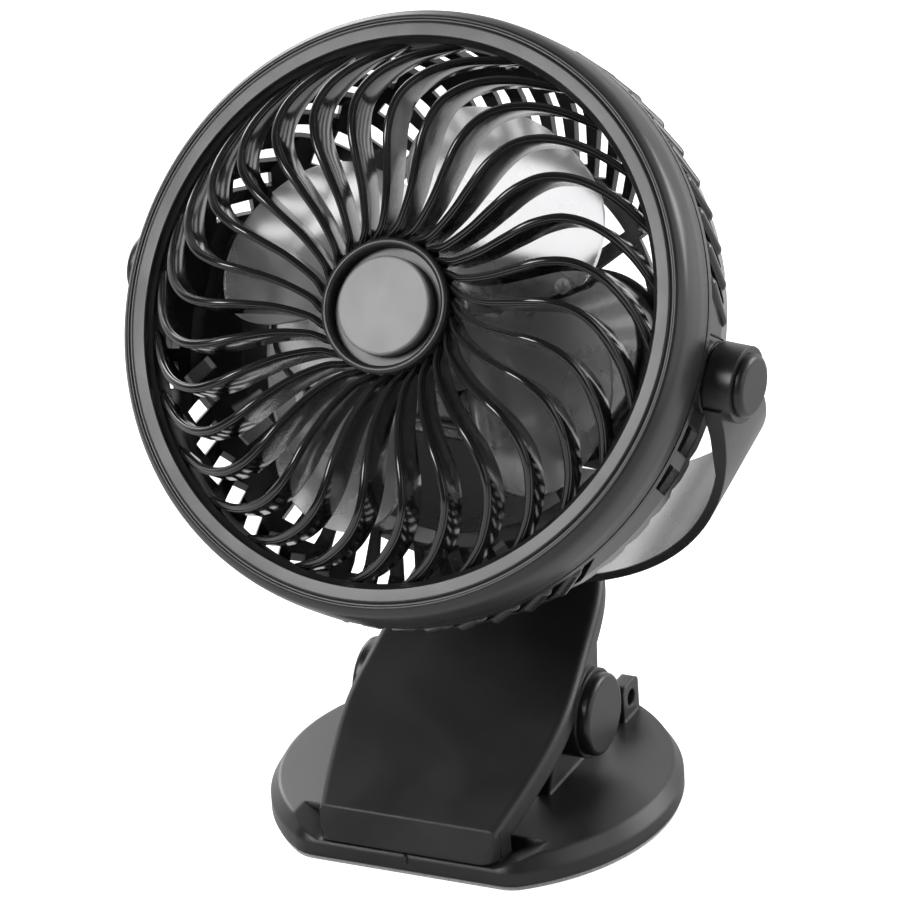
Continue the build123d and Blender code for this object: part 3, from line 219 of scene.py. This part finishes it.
def plastic(name, colour, worn, roughness, spread, grain=2600.0, bump=0.12, coat=0.0, edge=0.0005):
    """A moulded plastic: two close colours and a roughness mixed by handling, fine grain and eased edges."""
    made = bpy.data.materials.new(name)
    made.use_nodes = True
    tree = made.node_tree
    shader = tree.nodes["Principled BSDF"]
    place = put(tree, "ShaderNodeTexCoord")
    skin = put(tree, "ShaderNodeGroup", node_tree=moulded_skin)
    skin.inputs["Grain Size"].default_value = grain
    tree.links.new(place.outputs["Object"], skin.inputs["Vector"])
    tint = put(tree, "ShaderNodeMix", data_type="RGBA")
    tint.inputs["A"].default_value = (*colour, 1)
    tint.inputs["B"].default_value = (*worn, 1)
    tree.links.new(skin.outputs["Handling"], tint.inputs["Factor"])
    tree.links.new(tint.outputs["Result"], shader.inputs["Base Color"])
    rough = put(tree, "ShaderNodeMapRange")
    rough.inputs["To Min"].default_value = roughness - spread
    rough.inputs["To Max"].default_value = roughness + spread
    tree.links.new(skin.outputs["Handling"], rough.inputs["Value"])
    tree.links.new(rough.outputs["Result"], shader.inputs["Roughness"])
    dent = put(tree, "ShaderNodeBump", strength=bump, distance=0.00012)
    tree.links.new(skin.outputs["Grain"], dent.inputs["Height"])
    if edge:
        eased = put(tree, "ShaderNodeBevel", samples=4)
        eased.inputs["Radius"].default_value = edge
        tree.links.new(eased.outputs["Normal"], dent.inputs["Normal"])
    tree.links.new(dent.outputs["Normal"], shader.inputs["Normal"])
    shader.inputs["Coat Weight"].default_value = coat
    shader.inputs["Coat Roughness"].default_value = 0.08
    return made


def dress(names, material):
    """Gives a material to each slot of the named CAD nodes."""
    for name in names:
        mesh = node[name].data
        if not mesh.materials:
            mesh.materials.append(material)
        for i in range(len(mesh.materials)):
            mesh.materials[i] = material


# ---- Foot: plate, and the grey sheet of painted shade under it ----
# The lower jaw is a moulded disc cut straight across its front, with a sloping edge, two hinge lugs and two
# tabs. Under it lies a thin light grey sheet with fine cells. It shows as a pale band along the foot's lower
# edge and is painted shade for the soft shadow where the foot meets the floor.
foot_black = plastic(
    "foot_black", (0.014, 0.014, 0.015), (0.022, 0.022, 0.023), 0.34, 0.05, bump=0.18, edge=0.0013,
)
dress(["base_plate"], foot_black)

shade_sheet = bpy.data.materials.new("painted_shade_sheet")
shade_sheet.use_nodes = True
tree = shade_sheet.node_tree
shader = tree.nodes["Principled BSDF"]
place = put(tree, "ShaderNodeTexCoord")
cells = put(tree, "ShaderNodeTexVoronoi", scale=1500.0)
tree.links.new(place.outputs["Object"], cells.inputs["Vector"])
# Painted shade: these two light greys colour the sheet under the foot, whose pale edge stands for the soft
# shadow at the foot.
tint = put(tree, "ShaderNodeMix", data_type="RGBA")
tint.inputs["A"].default_value = (0.34, 0.34, 0.34, 1)
tint.inputs["B"].default_value = (0.52, 0.52, 0.52, 1)
tree.links.new(cells.outputs["Distance"], tint.inputs["Factor"])
tree.links.new(tint.outputs["Result"], shader.inputs["Base Color"])
cell_dents = put(tree, "ShaderNodeBump", strength=0.5, distance=0.0003)
tree.links.new(cells.outputs["Distance"], cell_dents.inputs["Height"])
tree.links.new(cell_dents.outputs["Normal"], shader.inputs["Normal"])
shader.inputs["Roughness"].default_value = 0.92
dress(["foot_pad"], shade_sheet)

# ---- Jaw pads ----
# Two strips of soft black rubber set into the jaws' front edges, to grip a shelf.
jaw_rubber = plastic(
    "jaw_rubber", (0.016, 0.016, 0.016), (0.028, 0.028, 0.028), 0.68, 0.08, grain=4200.0, bump=0.3,
)
dress(["lower_jaw_pad", "upper_jaw_pad"], jaw_rubber)

# ---- Clip arm ----
# The upper jaw is a thin moulded ramp with side walls, satin black, hinged on the foot's lugs.
clip_black = plastic(
    "clip_black", (0.012, 0.012, 0.013), (0.018, 0.018, 0.019), 0.40, 0.05, bump=0.15, edge=0.0008,
)
dress(["clip_arm"], clip_black)

# ---- Caps, rings and small steel ----
# Domed press-in caps cover the hinge pin and the tilt pivots. Pin, screws and washer are
# zinc-plated steel with fine turning marks.
cap_black = plastic("cap_black", (0.012, 0.012, 0.013), (0.018, 0.018, 0.019), 0.33, 0.05, bump=0.12)
dress(["hinge_cap_left", "hinge_cap_right", "pivot_cap_left", "pivot_cap_right"], cap_black)
ring_black = plastic("ring_black", (0.02, 0.02, 0.02), (0.035, 0.035, 0.035), 0.6, 0.06)
dress(["swivel_ring", "pivot_ring_left", "pivot_ring_right"], ring_black)


def metal(name, colour, dark, roughness, spread=0.08, scale=900.0):
    """A plated or drawn metal: fine noise mixes two close colours and spreads the roughness."""
    made = bpy.data.materials.new(name)
    made.use_nodes = True
    tree = made.node_tree
    shader = tree.nodes["Principled BSDF"]
    place = put(tree, "ShaderNodeTexCoord")
    marks = put(tree, "ShaderNodeTexNoise", scale=scale, detail=4.0)
    tree.links.new(place.outputs["Object"], marks.inputs["Vector"])
    tint = put(tree, "ShaderNodeMix", data_type="RGBA")
    tint.inputs["A"].default_value = (*colour, 1)
    tint.inputs["B"].default_value = (*dark, 1)
    tree.links.new(marks.outputs["Fac"], tint.inputs["Factor"])
    tree.links.new(tint.outputs["Result"], shader.inputs["Base Color"])
    rough = put(tree, "ShaderNodeMapRange")
    rough.inputs["To Min"].default_value = roughness - spread
    rough.inputs["To Max"].default_value = roughness + spread
    tree.links.new(marks.outputs["Fac"], rough.inputs["Value"])
    tree.links.new(rough.outputs["Result"], shader.inputs["Roughness"])
    shader.inputs["Metallic"].default_value = 1.0
    return made


zinc = metal("zinc_plate", (0.62, 0.62, 0.63), (0.45, 0.45, 0.47), 0.32)
dress([
    "hinge_pin", "swivel_washer", "swivel_screw", "pivot_screw_left", "pivot_screw_right",
    "motor_screws", "cage_screws", "cover_screws", "motor_shaft",
], zinc)

# ---- Clip spring ----
# A torsion spring of bright drawn wire round the hinge pin. Its lower leg lies on the foot and its
# upper leg presses up under the arm, so its turns wind up as the jaws open.
spring_wire = metal("spring_wire", (0.58, 0.58, 0.6), (0.40, 0.40, 0.42), 0.28, scale=2400.0)
dress(["clip_spring", "battery_contact_left", "battery_contact_right"], spring_wire)
joint = {one["name"]: one for one in frame["joints"]}
hinge = np.array(joint["clip_hinge"]["pos_m"]) * 1000
coil_radius, wire_radius = 5.4, 0.8
coil_pitch, coil_turns = 2.3, 5 + 104 / 360
coil_steps = 230
lower_leg_length, upper_leg_length = 22.0, 14.0
first_angle = math.radians(205)  # where the coil leaves the lower leg, seen along the pin
sharp_angle = math.radians(64)  # edges that turn by more than this stay crisp


def ringed(name, rings, material, closed=False):
    """A mesh from an array of closed rings, copies x rings x corners x 3, in millimetres.

    Each ring is joined to the next by four-sided faces. The last is joined to the first where closed,
    and otherwise the first and last ring are each filled by one face. Faces are turned outwards.
    """
    copies, count, corners, _ = rings.shape
    index = np.arange(copies * count * corners).reshape(copies, count, corners)
    beside = np.roll(index, -1, axis=2)
    if closed:
        faces = np.stack((index, beside, np.roll(beside, -1, axis=1), np.roll(index, -1, axis=1)), axis=-1)
        faces = faces.reshape(-1, 4).tolist()
    else:
        faces = np.stack((index[:, :-1], beside[:, :-1], beside[:, 1:], index[:, 1:]), axis=-1)
        faces = faces.reshape(-1, 4).tolist() + index[:, 0, ::-1].tolist() + index[:, -1].tolist()
    mesh = bpy.data.meshes.new(name)
    mesh.from_pydata(rings.reshape(-1, 3) / 1000, [], faces)
    turned = bmesh.new()
    turned.from_mesh(mesh)
    bmesh.ops.recalc_face_normals(turned, faces=turned.faces)
    turned.to_mesh(mesh)
    turned.free()
    mesh.shade_smooth()
    mesh.set_sharp_from_angle(angle=sharp_angle)
    mesh.materials.append(material)
    made = bpy.data.objects.new(name, mesh)
    bpy.context.scene.collection.objects.link(made)
    return made


def spring_line():
    """The wire's middle line: a screw line about the pin with a straight leg off each end, as an array."""
    angle = np.linspace(0, 2 * math.pi * coil_turns, coil_steps)
    round_pin = np.stack((
        coil_pitch * (coil_turns / 2 - angle / (2 * math.pi)),
        coil_radius * np.sin(angle + first_angle),
        coil_radius * np.cos(angle + first_angle),
    ), axis=1) + hinge
    start = (round_pin[0] - round_pin[1]) / np.linalg.norm(round_pin[0] - round_pin[1])
    end = (round_pin[-1] - round_pin[-2]) / np.linalg.norm(round_pin[-1] - round_pin[-2])
    lower_leg = round_pin[0] + start * np.linspace(lower_leg_length, 0.7, 12)[:, None]
    upper_leg = round_pin[-1] + end * np.linspace(0.7, upper_leg_length, 9)[:, None]
    return np.concatenate((lower_leg, round_pin, upper_leg))


def round_wire(line, radius, corners=14):
    """Rings of points round a line: each ring is square to the line and starts from the x direction."""
    along = np.gradient(line, axis=0)
    along /= np.linalg.norm(along, axis=1)[:, None]
    side = np.cross(along, (1.0, 0.0, 0.0))
    side /= np.linalg.norm(side, axis=1)[:, None]
    other = np.cross(along, side)
    turn = np.linspace(0, 2 * math.pi, corners, endpoint=False)[:, None, None]
    return (line + radius * (np.cos(turn) * side + np.sin(turn) * other)).transpose(1, 0, 2)


spring = ringed("torsion_spring", round_wire(spring_line(), wire_radius)[None], spring_wire)
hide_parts("clip_spring")
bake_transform(spring)

# ---- Nib at the foot's front ----
# A small upright bead moulded on the middle of the foot's front edge. Its rings are ovals that close
# towards both ends, by the square root of one less the fourth power of the way from the middle.
nib_middle = (-42.25, 4.3)  # y, z
nib_half = (0.65, 0.75, 1.25)  # across, front to back, up
nib_rounds, nib_corners = 13, 20
share = np.linspace(-0.98, 0.98, nib_rounds)[:, None]
turn = np.linspace(0, 2 * math.pi, nib_corners, endpoint=False)
narrowing = np.sqrt(1 - share**4)
nib_rings = np.stack((
    nib_half[0] * narrowing * np.cos(turn),
    nib_middle[0] + nib_half[1] * narrowing * np.sin(turn),
    np.broadcast_to(nib_middle[1] + nib_half[2] * share, (nib_rounds, nib_corners)),
), axis=-1)
nib = ringed("foot_nib", nib_rings[None], foot_black)
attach(nib, "foot")

# ---- Yoke ----
# A half ring of moulded plastic that holds the head at two bosses, and turns on the arm's seat.
yoke_black = plastic("yoke_black", (0.022, 0.022, 0.023), (0.032, 0.032, 0.033), 0.30, 0.05, bump=0.10)
dress(["yoke"], yoke_black)

# ---- Front grille ----
# Rim, 28 swept fins and hub ring come out of one mould in black plastic. The rim has a satin face, a
# fine groove and a rounded band, and each fin carries a rounded bead between two fine steps.
rim_black = plastic(
    "rim_black", (0.022, 0.022, 0.023), (0.030, 0.030, 0.031), 0.34, 0.04, bump=0.12, edge=0.0,
)
fin_black = plastic(
    "fin_black", (0.008, 0.008, 0.009), (0.012, 0.012, 0.013), 0.17, 0.04, bump=0.03, coat=0.5, edge=0.0,
)
dress(["front_grille"], rim_black)
fin_count = 28
fin_stations = 120
fin_line = [  # the fin's middle line seen from the front, (across, up) from the axis
    (13.4, 8.0), (15.8, 7.2), (19.6, 5.8), (27.4, 5.6), (35.4, 6.7), (43.3, 7.9),
    (50.4, 7.3), (56.6, 3.6), (61.4, -3.2), (64.6, -13.2),
]
fin_front = [  # the bead's top, (distance from the axis, level before the rim's face)
    (13.4, 4.8), (20.0, 8.4), (28.0, 11.2), (36.0, 13.2), (42.0, 13.8), (50.0, 12.3),
    (56.0, 8.9), (60.0, 4.9), (64.0, -0.8), (67.0, -4.6),
]
fin_back = [  # the wall's lower edge, in the same way
    (13.4, -0.4), (28.0, 1.7), (40.0, 2.5), (50.0, 2.2), (58.0, -1.8), (67.0, -8.3),
]
bead_at, bead_half_width = (16, 28, 44, 60, 66), (0.52, 0.62, 0.74, 0.74, 0.62)
edge_samples = 600
front = Vector(joint["impeller_spin"]["axis"])
head_right = -Vector(joint["head_tilt"]["axis"])
head_axes = np.array((head_right, front.cross(head_right), front))
head_middle = np.array(joint["impeller_spin"]["pos_m"]) * 1000


def on_head(points):
    """Points given across, up and out of the head's front, moved to where the head stands."""
    return head_middle + points @ head_axes


def through(points, count):
    """A smooth line through points, as count samples.

    Between two points it is the cubic whose slope at each is half the step between that one's neighbours.
    """
    points = np.array(points, float)
    before, after = 2 * points[:1] - points[1:2], 2 * points[-1:] - points[-2:-1]
    padded = np.concatenate((before, points, after))
    place = np.linspace(0, len(points) - 1, count)
    first = np.minimum(place.astype(int), len(points) - 2)
    t = (place - first)[:, None]
    a, b, c, d = (padded[first + i] for i in range(4))
    return b + 0.5 * ((c - a) * t + (2 * a - 5 * b + 4 * c - d) * t**2 + (3 * b - a - 3 * c + d) * t**3)


def lathed(outline, steps):
    """Rings of points about the fan's axis, one ring at each step, from a closed (radius, level) outline."""
    outline = np.array(outline, float)
    turn = np.linspace(0, 2 * math.pi, steps, endpoint=False)[:, None]
    radius, level = outline[:, 0], outline[:, 1]
    level = np.broadcast_to(level, (steps, len(level)))
    return on_head(np.stack((radius * np.cos(turn), radius * np.sin(turn), level), axis=-1))[None]


def swept_fins():
    """All fins as rings: one section swept along the fin's line, then turned about the axis to each place.

    The section is a quarter round bead, a fine step and a tapering wall, and the same again mirrored.
    Its top follows the front edge, and its wall reaches down to the back edge.
    """
    line = through(fin_line, fin_stations)
    radius = np.hypot(line[:, 0], line[:, 1])
    front_edge = through(fin_front, edge_samples)
    back_edge = through(fin_back, edge_samples)
    top = np.interp(radius, front_edge[:, 0], front_edge[:, 1])[:, None]
    depth = top - np.interp(radius, back_edge[:, 0], back_edge[:, 1])[:, None]
    bead = np.interp(radius, bead_at, bead_half_width)[:, None]
    arc = np.radians((0, 18, 36, 54, 72, 90))
    one = np.ones_like(bead)
    across = np.concatenate((
        bead * np.sin(arc), bead, bead + 0.06, bead + 0.20, bead + 0.30, bead + 0.32,
        bead + 0.16, bead + 0.06, bead - 0.14,
    ), axis=1)
    drop = np.concatenate((
        one * 0.5 * (1 - np.cos(arc)), one * 0.80, one * 0.88, one * 0.88, one * 0.98, one * 1.4,
        depth - 0.3, depth - 0.06, depth,
    ), axis=1)
    across = np.concatenate((across, -across[:, :0:-1]), axis=1)
    drop = np.concatenate((drop, drop[:, :0:-1]), axis=1)
    along = np.gradient(line, axis=0)
    along /= np.linalg.norm(along, axis=1)[:, None]
    x = line[:, :1] - along[:, 1:] * across
    y = line[:, 1:] + along[:, :1] * across
    turn = np.radians(360 / fin_count * np.arange(fin_count))[:, None, None]
    return on_head(np.stack((
        x * np.cos(turn) - y * np.sin(turn),
        x * np.sin(turn) + y * np.cos(turn),
        np.broadcast_to(top - drop, (fin_count, *x.shape)),
    ), axis=-1))


# Both outlines are (distance from the axis, level before the rim's face), and start at an inner corner.
rim_outline = [
    (66.3, -1.2), (66.45, -0.54), (66.6, -0.14), (66.78, -0.04), (66.92, -0.02), (67.1, -0.02),
    (69.5, -0.06), (69.72, -0.07), (69.9, -0.13), (70.0, -0.28), (70.08, -0.5), (70.14, -0.74),
    (70.25, -0.82), (70.75, -0.82), (70.86, -0.74), (70.93, -0.5),
    *through([(71.02, -0.42), (71.5, -0.5), (72.1, -0.95), (73.2, -2.6), (73.7, -5.4), (73.88, -9.0)], 22),
    (73.88, -14.1), (73.7, -14.35), (71.8, -14.35), (71.7, -14.1), (71.7, -5.0), (69.6, -2.4),
    (67.4, -2.4), (67.4, -9.4), (65.3, -9.4), (65.2, -9.2), (65.2, -1.9), (65.35, -1.6),
]
rim = ringed("grille_rim", lathed(rim_outline, 300), rim_black, closed=True)
fins = ringed("grille_fins", swept_fins(), fin_black)
hub_outline = [
    (0.6, 3.35), (0.6, 5.05), (14.3, 5.05), (14.36, 7.2), (14.45, 7.5), (14.85, 8.2), (15.1, 8.42),
    (15.4, 8.46), (15.85, 8.42), (16.2, 8.2), (16.36, 7.85), (16.38, -0.8), (16.2, -1.0), (15.1, -1.0),
    (14.95, -0.8), (14.9, 3.3),
]
hub = ringed("grille_hub", lathed(hub_outline, 160), rim_black, closed=True)
for piece in (rim, fins, hub):
    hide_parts("front_grille")
    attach(piece, "head")

# ---- Badge ----
# A plain satin grey disc set into the hub.
badge_grey = plastic("badge_grey", (0.21, 0.21, 0.21), (0.25, 0.25, 0.25), 0.38, 0.05, bump=0.05)
dress(["hub_badge"], badge_grey)

# ---- Rear cage, motor cover ----
# The cage is a glossy black moulding with rows of leaning windows. The motor's cover is inside it.
cage_black = plastic(
    "cage_black", (0.014, 0.014, 0.015), (0.022, 0.022, 0.023), 0.22, 0.05, bump=0.04, coat=0.2,
)
dress(["rear_cage", "motor_cover"], cage_black)

# ---- Impeller ----
# Four blades and a cup hub, moulded in one from smoky clear plastic.
clear = bpy.data.materials.new("smoky_clear")
clear.use_nodes = True
tree = clear.node_tree
shader = tree.nodes["Principled BSDF"]
place = put(tree, "ShaderNodeTexCoord")
flow = put(tree, "ShaderNodeTexNoise", scale=45.0, detail=3.0)
tree.links.new(place.outputs["Object"], flow.inputs["Vector"])
tint = put(tree, "ShaderNodeMix", data_type="RGBA")
tint.inputs["A"].default_value = (0.70, 0.70, 0.71, 1)
tint.inputs["B"].default_value = (0.80, 0.80, 0.81, 1)
tree.links.new(flow.outputs["Fac"], tint.inputs["Factor"])
tree.links.new(tint.outputs["Result"], shader.inputs["Base Color"])
frost = put(tree, "ShaderNodeMapRange")
frost.inputs["To Min"].default_value = 0.20
frost.inputs["To Max"].default_value = 0.36
tree.links.new(flow.outputs["Fac"], frost.inputs["Value"])
tree.links.new(frost.outputs["Result"], shader.inputs["Roughness"])
shader.inputs["Transmission Weight"].default_value = 0.90
shader.inputs["IOR"].default_value = 1.38
shader.inputs["Coat Weight"].default_value = 1.0
shader.inputs["Coat Roughness"].default_value = 0.10
dress(["impeller"], clear)

# ---- Motor ----
# A small can motor: plated can, nylon end cap, bronze bush, two ferrite magnets and an iron rotor.
dress(["motor_can", "usb_socket"], metal("plated_can", (0.55, 0.55, 0.56), (0.42, 0.42, 0.43), 0.3))
dress(["motor_bearing"], metal("bronze", (0.60, 0.42, 0.22), (0.48, 0.32, 0.15), 0.4))
dress(["motor_rotor"], metal("rotor_iron", (0.24, 0.23, 0.22), (0.14, 0.14, 0.14), 0.5))
dress(["motor_magnets"], plastic("ferrite", (0.05, 0.05, 0.055), (0.08, 0.08, 0.085), 0.55, 0.05))
dress(["motor_end_cap"], plastic("nylon", (0.66, 0.64, 0.58), (0.72, 0.70, 0.64), 0.45, 0.05))

# ---- Rear housing and what it holds ----
# A moulded box with a pull-off battery cover, a round button, a charging socket and a lens.
housing_black = plastic("housing_black", (0.018, 0.018, 0.019), (0.027, 0.027, 0.028), 0.42, 0.06, bump=0.25)
dress(["rear_housing", "battery_door"], housing_black)
button_black = plastic("button_black", (0.03, 0.03, 0.032), (0.045, 0.045, 0.047), 0.22, 0.05, coat=0.3)
dress(["power_button"], button_black)
dress(["switch_body"], plastic("switch_black", (0.02, 0.02, 0.02), (0.03, 0.03, 0.03), 0.5, 0.05))
dress(["battery"], plastic("shrink_film", (0.03, 0.14, 0.26), (0.04, 0.18, 0.32), 0.25, 0.06, coat=0.4))
solder_mask = plastic("solder_mask", (0.02, 0.12, 0.05), (0.03, 0.17, 0.07), 0.35, 0.08, coat=0.3)
dress(["circuit_board"], solder_mask)
pale_lens = plastic("clear_lens", (0.62, 0.70, 0.62), (0.70, 0.76, 0.70), 0.15, 0.03, coat=0.5)
dress(["indicator_lens"], pale_lens)
